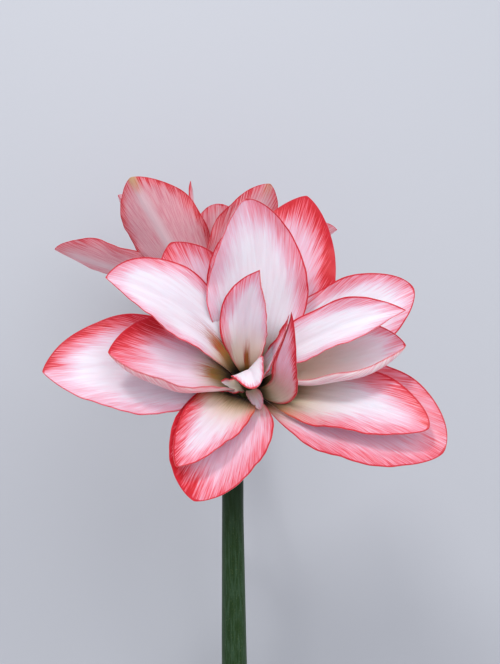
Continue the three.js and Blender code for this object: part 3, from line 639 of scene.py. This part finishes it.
rearPetals = {
    "rear_petaloid_thin": {
        **ring5, "at": 250, "az": 268, "a1": 34, "a2": 34, "length": 80, "width": 12, "base": 0.2,
        "roll": 75,
        "reach": 5, "wash": 0.2,
    },
    "rear_petaloid_right": {
        **ring5, "az": 40, "a1": 24, "a2": 22, "length": 50, "width": 20, "base": 0.15,
    },
    "rear_petaloid_left": {
        **ring5, "az": 190, "a1": 26, "a2": 24, "length": 48, "width": 20, "base": 0.15,
    },
    "rear_petal_left_inner": {
        **ring4, "az": 212, "a1": 42, "a2": 40, "length": 92, "width": 32, "base": 0.14,
        "reach": 10, "wash": 0.1,
    },
    "rear_petal_right_inner": {
        **ring4, "az": 334, "a1": 40, "a2": 40, "length": 76, "width": 32, "base": 0.14,
    },
    "rear_petal_under_inner": {
        **ring4, "az": 92, "a1": 38, "a2": 38, "length": 76, "width": 34, "base": 0.14,
    },
    "rear_petal_top_inner": {
        **ring3, "az": 292, "bend": -16, "a1": 50, "a2": 56, "length": 68, "width": 34, "base": 0.14,
        "wide": 0.66, "tip": 0.6, "roll": -20,
        "reach": 9, "redL": 0.9, "redR": 0.9, "wash": 0.12,
    },
    "rear_petal_under_right_inner": {
        **ring3, "az": 34, "a1": 48, "a2": 46, "length": 80, "width": 34, "base": 0.14, "cupL": 8,
        "cupR": 8,
    },
    "rear_petal_under_left_inner": {
        **ring3, "az": 152, "a1": 44, "a2": 42, "length": 80, "width": 34, "base": 0.14, "cupL": 8,
        "cupR": 8,
    },
    "rear_petal_top_left_outer": {
        **ring2, "az": 240, "a1": 59, "a2": 52, "length": 96, "width": 55, "base": 0.14,
        "reach": 11, "redL": 1.15, "redR": 1.15, "wash": 0.06, "tipGreen": 0.8,
    },
    "rear_petal_right_outer": {
        **ring2, "az": 3, "a1": 62, "a2": 68, "length": 109, "width": 44, "base": 0.14,
        "reach": 9, "wash": 0.1,
    },
    "rear_petal_under_left_outer": {
        **ring2, "az": 120, "a1": 54, "a2": 52, "length": 100, "width": 42, "base": 0.14,
    },
    "rear_petal_left_outer": {
        **ring1, "az": 180, "a1": 64, "a2": 64, "length": 111, "width": 44, "base": 0.16,
        "reach": 13, "redL": 0.9, "redR": 0.9, "wash": 0.1,
    },
    "rear_petal_top_right_outer": {
        **ring1, "az": 306, "a1": 64, "a2": 55, "length": 90, "width": 42, "cupL": 8, "cupR": 8,
        "reach": 12, "redL": 0.9, "redR": 0.9, "wash": 0.2, "tipGreen": 0.35,
    },
    "rear_petal_under_right_outer": {
        **ring1, "az": 60, "a1": 56, "a2": 52, "length": 100, "width": 42, "cupL": 8, "cupR": 8,
    },
}
for number, (name, own) in enumerate(rearPetals.items(), 30):
    makePetal(name, rearFlower, own, number, rearSkin)
print("rear flower:", len(rearPetals), "petals")


def lineThrough(knots, t):
    # smooth line through knots, each span a cubic whose slope at a knot is half the step between
    # its neighbours
    knots = np.array(knots, float)
    padded = np.concatenate([[2 * knots[0] - knots[1]], knots, [2 * knots[-1] - knots[-2]]])
    x = np.clip(t, 0, 1) * (len(knots) - 1)
    i = np.minimum(x.astype(int), len(knots) - 2)
    f = (x - i)[:, None]
    a, b, c, d = (padded[i + k] for k in range(4))
    square = 2 * a - 5 * b + 4 * c - d
    cube = 3 * b - a - 3 * c + d
    return 0.5 * (2 * b + (c - a) * f + square * f ** 2 + cube * f ** 3)


def slopeOf(centre):
    # unit direction along a line of points
    d = np.gradient(centre, axis=0)
    return d / np.linalg.norm(d, axis=1, keepdims=True)


def turns(sides):
    # angles round a ring
    return np.linspace(0, 2 * np.pi, sides, endpoint=False)


def outAndBack(sides):
    # 1 down to 0 and back round a ring, so that a pattern on it has no seam
    return np.abs(turns(sides) / np.pi - 1)


def sweptTube(centre, along, widthX, widthZ, depth, swell):
    # rings along a line: centre plus the two half widths times the cosine and sine of the turn,
    # each times the swell of its row and turn
    second = depth[None] - (along @ depth)[:, None] * along
    second /= np.linalg.norm(second, axis=1, keepdims=True)
    first = np.cross(second, along)
    turn = turns(swell.shape[1])
    return (centre[:, None] + first[:, None] * (np.cos(turn)[None] * widthX[:, None] * swell)[..., None]
            + second[:, None] * (np.sin(turn)[None] * widthZ[:, None] * swell)[..., None])


def tubeFaces(rows, sides):
    # walls between rings, and a fan to one middle point at each end
    grid = np.arange(rows * sides).reshape(rows, sides)
    after = np.roll(grid, -1, axis=1)
    start, end = rows * sides, rows * sides + 1
    faces = facets(grid[:-1], after[:-1], after[1:], grid[1:])
    return faces + facets(start, after[0], grid[0]) + facets(end, grid[-1], after[-1])


stemLook = {
    # top is painted shade: the stem under the flowers
    "green": (46, 74, 38), "dark": (26, 48, 20), "bluish": (70, 98, 74), "top": (18, 32, 14),
    "cut": (170, 182, 120), "pith": (206, 208, 160), "bloom": 0.55,
    # widths are parts of half the way round, lengths mm, specks grains to the metre, relief metres
    "ridgeWidth": 0.016, "ridgeLength": 50.0, "patchWidth": 0.06, "patchLength": 14.0,
    "specks": 1800.0, "relief": 0.00012,
}


def stemMaterial(look):
    # dark green with long faint ridges, a bluish waxy bloom in patches, painted shade darkening it right
    # at the top under the flowers, and a pale wet cut
    material, tree, skin = newMaterial("stem skin", subsurface=0.08, scale=0.001, specular=0.12)
    along, turn, cut = (reading(tree, key) for key in ("along", "turn", "cut"))
    ridges = streaks(tree, turn, along, look["ridgeWidth"], look["ridgeLength"], 1.0)
    patches = streaks(tree, turn, along, look["patchWidth"], look["patchLength"], 2.0)
    specks = objectNoise(tree, look["specks"], 2.0)
    darker = step(tree, ridges, 0.0, 1.0, 0.0, 0.55)
    colour = blend(tree, darker, linear(*look["green"]), linear(*look["dark"]))
    colour = blend(tree, step(tree, patches, 0.3, 0.8, 0.0, look["bloom"]), colour, linear(*look["bluish"]))
    colour = blend(tree, step(tree, specks, 0.6, 0.75, 0.0, 0.25), colour, linear(*look["cut"]))
    # painted shade: the stem darkened towards its top, under the flowers
    colour = blend(tree, fade(tree, along, 20.0, 85.0, 0.85), colour, linear(*look["top"]))
    face = blend(tree, step(tree, specks, 0.4, 0.6), linear(*look["cut"]), linear(*look["pith"]))
    tree.links.new(blend(tree, cut, colour, face), skin.inputs["Base Color"])
    tree.links.new(step(tree, patches, 0.1, 0.9, 0.34, 0.52), skin.inputs["Roughness"])
    height = calc(tree, "MULTIPLY_ADD", specks, 0.3, ridges)
    addRelief(tree, skin, height, look["relief"], 0.7)
    return material


stemShape = {  # mm: a line down the middle, and the two half widths at its knots
    "line": [(-0.6, -15, 0), (-0.6, -19, 0), (-0.7, -28, -1), (-0.9, -60, -6), (-0.6, -110, -15),
             (-0.2, -161, -26), (1.2, -235, -41), (3.5, -315, -56)],
    "rx": [7.4, 7.5, 6.5, 6.6, 7.3, 8, 8.5, 8.8], "rz": [9.2, 9.2, 8.1, 8.2, 8.7, 9.2, 9.6, 9.8],
    "shoulder": 0.5, "wall": 2.8, "lip": 0.3, "hollow": 60,  # top edge eased, wall at the cut, its rim eased
    "ridge": 0.004, "ridges": 11, "rows": 220, "sides": 96, "hollowRows": 24,
}


def makeStem(p, material):
    # outer skin down to the cut, over the rim, then the hollow's wall back up to its end
    rows, hollowRows, sides = p["rows"], p["hollowRows"], p["sides"]
    t = np.linspace(0, 1, rows)
    centre = lineThrough(p["line"], t)
    along = slopeOf(centre)
    widths = []
    for knots in (p["rx"], p["rz"]):
        r = np.interp(t, np.linspace(0, 1, len(knots)), knots)
        r = np.convolve(np.pad(r, 4, mode="edge"), np.ones(9) / 9, mode="valid")  # mean of nine rows
        r[0] -= p["shoulder"]
        widths.append(r)
    depth = np.array([0.0, 0.0, 1.0])
    ridged = 1 + p["ridge"] * np.cos(p["ridges"] * turns(sides))[None]
    outer = sweptTube(centre, along, *widths, depth, ridged)
    innerCentre = centre[-1] - along[-1] * np.linspace(0, p["hollow"], hollowRows)[:, None]
    wall = np.full(hollowRows, p["wall"])
    wall[0] -= p["lip"]
    innerWidths = [r[-1] - wall for r in widths]
    innerAlong = np.repeat(along[-1:], hollowRows, 0)
    inner = sweptTube(innerCentre, innerAlong, *innerWidths, depth, np.ones((1, sides)))
    rings = np.concatenate([outer, inner]).reshape(-1, 3)
    points = np.concatenate([rings, centre[:1], innerCentre[-1:]])
    travelled = np.cumsum(np.linalg.norm(np.diff(centre, axis=0), axis=1))
    end = 300.0  # the cut face and the hollow count as the stem's far end
    length = np.r_[0, travelled, np.full(hollowRows, end)]
    cut = np.r_[np.zeros(rows - 1), np.ones(hollowRows + 1)]
    values = {"along": np.r_[np.repeat(length, sides), 0, end],
              "turn": np.r_[np.tile(outAndBack(sides), rows + hollowRows), 0, 0],
              "cut": np.r_[np.repeat(cut, sides), 0, 1]}
    return makeObject("stem", points, tubeFaces(rows + hollowRows, sides), values, material, "stem")


makeStem(stemShape, stemMaterial(stemLook))
print("stem made")

baseLook = {
    # throat is painted shade for the hollow in the middle of the flower
    "stalk": (84, 108, 58), "ovary": (112, 134, 66), "tube": (178, 178, 112), "throat": (26, 20, 8),
    # lines in parts of half the way round and of the base's length
    "lineWidth": 0.03, "lineLength": 2.5, "specks": 2500.0, "relief": 0.00012,
}


def baseMaterial(look):
    # stalk green, paler up the tube and on the first steps, then painted shade darkening the last steps in
    # the throat's hollow, with faint lines
    material, tree, skin = newMaterial("flower base skin", 0.45, subsurface=0.12, scale=0.001)
    along = reading(tree, "along")
    lines = streaks(tree, reading(tree, "turn"), along, look["lineWidth"], look["lineLength"], 4.0)
    specks = objectNoise(tree, look["specks"], 3.0)
    # the last tone, throat, is painted shade deep in the flower's hollow
    tones = {0.0: "stalk", 0.42: "stalk", 0.55: "ovary", 0.72: "tube", 1.0: "throat"}
    colour = colourRamp(tree, along, [(place, linear(*look[tone])) for place, tone in tones.items()])
    colour = blend(tree, calc(tree, "MULTIPLY", lines, 0.3), colour, linear(*look["stalk"]))
    colour = blend(tree, step(tree, specks, 0.55, 0.75, 0.0, 0.2), colour, linear(*look["tube"]))
    tree.links.new(colour, skin.inputs["Base Color"])
    addRelief(tree, skin, lines, look["relief"], 0.6)
    return material


baseShape = {  # mm
    # waist and foot are how much slimmer the stalk is at its middle and foot
    "seat": -14.7, "stalkRadius": 3.8, "waist": 0.4, "foot": 0.4, "stalkRows": 60,
    # height along the flower's axis and radius: the round ovary and tube, then the steps
    "flesh": [(-36, 4.4), (-32, 6.6), (-27, 7.2), (-22, 6.7), (-18, 6), (-14, 6.6), (-8, 8.4), (-3, 9.8)],
    "steps": [(-0.45, 10.2), (-0.45, 8.8), (1.55, 8.7), (1.55, 7.3), (3.55, 7.2), (3.55, 5.8), (5.55, 5.7),
              (5.55, 4.3), (7.55, 4.2), (7.55, 2.7), (10.65, 2.6), (10.7, 1.2)],
    "lobes": 0.05, "lobeHeight": -27, "lobeSpread": 5, "fleshRows": 60, "sides": 72,
    # where each tone of the skin lies: heights, and places from 0 at the stem to 1 at the last step
    "toneHeights": [-36, -27, -14, 0, 11], "tonePlaces": [0.45, 0.55, 0.68, 0.85, 1],
}


def makeFlowerBase(name, flower, stand, rise, reach, p, material):
    # stalk: a cubic line from its stand on the stem, up by rise, to the ovary, met from reach below.
    # Above it the radius follows the flesh and the steps along the axis, with three soft lobes.
    axes = flowerAxes(flower["axis"])
    axis = axes[2]
    origin = np.array(flower["throat"], float)
    start = np.array([stand[0], p["seat"], stand[1]])
    end = origin + axis * p["flesh"][0][0]
    c1, c2 = start + np.array([0, rise, 0]), end - axis * reach
    t = np.linspace(0, 1, p["stalkRows"])[:, None]
    stalk = (1 - t) ** 3 * start + 3 * (1 - t) ** 2 * t * c1 + 3 * (1 - t) * t ** 2 * c2 + t ** 3 * end
    stalkRadii = p["stalkRadius"] - p["waist"] * np.sin(np.pi * t[:, 0])
    stalkRadii[0] -= p["foot"]
    flesh = lineThrough(p["flesh"], np.linspace(0, 1, p["fleshRows"]))[1:]
    heights, radii = np.concatenate([flesh, p["steps"]]).T
    radii[:4] = np.maximum(radii[:4], stalkRadii[-1])  # no thinner than the stalk it grows from
    centre = np.concatenate([stalk, origin + axis * heights[:, None]])
    radius = np.r_[stalkRadii, radii]
    along = np.concatenate([slopeOf(stalk), np.repeat(axis[None], len(heights), 0)])
    along[0] = (0, 1, 0)  # the first ring stands square on the stem
    lobed = np.r_[np.zeros(len(stalk)), np.exp(-((heights - p["lobeHeight"]) / p["lobeSpread"]) ** 2)]
    sides = p["sides"]
    swell = 1 + p["lobes"] * lobed[:, None] * np.cos(3 * turns(sides))[None]
    rings = sweptTube(centre, along, radius, radius, axes[0], swell)
    points = np.concatenate([rings.reshape(-1, 3), centre[:1], centre[-1:]])
    up = np.r_[np.linspace(0, p["tonePlaces"][0], len(stalk)),
               np.interp(heights, p["toneHeights"], p["tonePlaces"])]
    values = {"along": np.r_[np.repeat(up, sides), 0, 1],
              "turn": np.r_[np.tile(outAndBack(sides), len(up)), 0, 0]}
    return makeObject(name, points, tubeFaces(len(up), sides), values, material, name)


baseSkin = baseMaterial(baseLook)
makeFlowerBase("front_flower_base", frontFlower, (1, 4.9), 9, 16, baseShape, baseSkin)
makeFlowerBase("rear_flower_base", rearFlower, (-2.4, -4.9), 14, 14, baseShape, baseSkin)
print("flower bases made")

valveLook = {
    "straw": (178, 150, 104), "brown": (120, 88, 52), "green": (132, 134, 84),
    "veinWidth": 0.7, "veinLength": 30.0, "blots": 900.0, "relief": 0.0002,
}


def valveMaterial(look):
    # dry paper: straw and brown between close lengthwise veins, a little green left at the foot
    material, tree, skin = newMaterial("spathe skin", 0.7, subsurface=0.1, scale=0.001)
    along, run, fan = (reading(tree, key) for key in ("along", "run", "fan"))
    veins = step(tree, streaks(tree, fan, run, look["veinWidth"], look["veinLength"], 7.0), 0.35, 0.65)
    blots = objectNoise(tree, look["blots"], 4.0)
    tone = blend(tree, veins, linear(*look["straw"]), linear(*look["brown"]))
    tone = blend(tree, step(tree, blots, 0.5, 0.7, 0.0, 0.6), tone, linear(*look["brown"]))
    tone = blend(tree, fade(tree, along, 0.0, 0.4, 0.7), tone, linear(*look["green"]))
    tree.links.new(tone, skin.inputs["Base Color"])
    addRelief(tree, skin, calc(tree, "ADD", veins, blots), look["relief"])
    return material


umbel = {"throat": (-0.6, -19, 0), "axis": (0, -0.3, -0.95)}
plainValve = {  # as for a petal
    "r0": 8, "h0": 0, "a0": 60, "a1": 22, "a2": 6, "turn": 0.5, "length": 44, "width": 15, "base": 0.5,
    "wide": 0.35, "tip": 1, "full": 1.3, "keel": 4, "cupL": 30, "cupR": 30, "wave": 0.8, "waves": 2,
    "thick": 0.5, "groove": 0.1, "crimp": 0.3,
}
valves = {
    "spathe_valve_right": {**plainValve, "az": 0, "a0": 50, "a1": 0, "a2": -14, "length": 38},
    "spathe_valve_left": {**plainValve, "az": 180, "bend": -16, "a2": 12},
}
valveSkin = valveMaterial(valveLook)
for number, (name, own) in enumerate(valves.items(), 61):
    makePetal(name, umbel, own, number, valveSkin, rows=60, columns=25)
print("spathe valves made")

stageLook = {
    "floor": (192, 195, 203), "floorShade": (189, 193, 202), "size": 4.0,  # metres
    "sky": (238, 239, 244), "skyStrength": 0.72,
}
floorMesh = bpy.data.meshes.new("floor")
side = stageLook["size"] / 2
corners = [(-side, -side, 0), (side, -side, 0), (side, side, 0), (-side, side, 0)]
floorMesh.from_pydata(corners, [], [(0, 1, 2, 3)])
floor = bpy.data.objects.new("floor", floorMesh)
scene.collection.objects.link(floor)
floorMaterial, floorTree, floorSkin = newMaterial("floor paper", 0.8)
grain = step(floorTree, objectNoise(floorTree, 1.5, 3.0), 0.3, 0.7, 0.0, 0.25)
floorColour = blend(floorTree, grain, linear(*stageLook["floor"]), linear(*stageLook["floorShade"]))
floorTree.links.new(floorColour, floorSkin.inputs["Base Color"])
floorMesh.materials.append(floorMaterial)

world = bpy.data.worlds.new("soft room")
scene.world = world
world.use_nodes = True
sky = world.node_tree.nodes["Background"]
sky.inputs["Color"].default_value = linear(*stageLook["sky"])
sky.inputs["Strength"].default_value = stageLook["skyStrength"]

lights = {  # place in the upright space, mm; size in metres; watts
    "window": {"place": (-280, 880, 720), "size": 0.22, "power": 5.0, "colour": (1.0, 0.99, 0.97)},
    "front": {"place": (360, 520, 850), "size": 0.8, "power": 4.0, "colour": (1.0, 1.0, 1.0)},
}
target = layMatrix @ Vector((0, 0.04, 0.05))  # both lights look at the flowers
for name, light in lights.items():
    data = bpy.data.lights.new(name, "AREA")
    data.shape = "SQUARE"
    data.size = light["size"]
    data.energy = light["power"]
    data.color = light["colour"]
    lamp = bpy.data.objects.new(name, data)
    scene.collection.objects.link(lamp)
    place = layMatrix @ (Vector(light["place"]) / 1000)
    aim = (target - place).to_track_quat("-Z", "Y")
    lamp.matrix_world = Matrix.Translation(place) @ aim.to_matrix().to_4x4()
scene.view_settings.view_transform = "Standard"
print("floor and lights set")
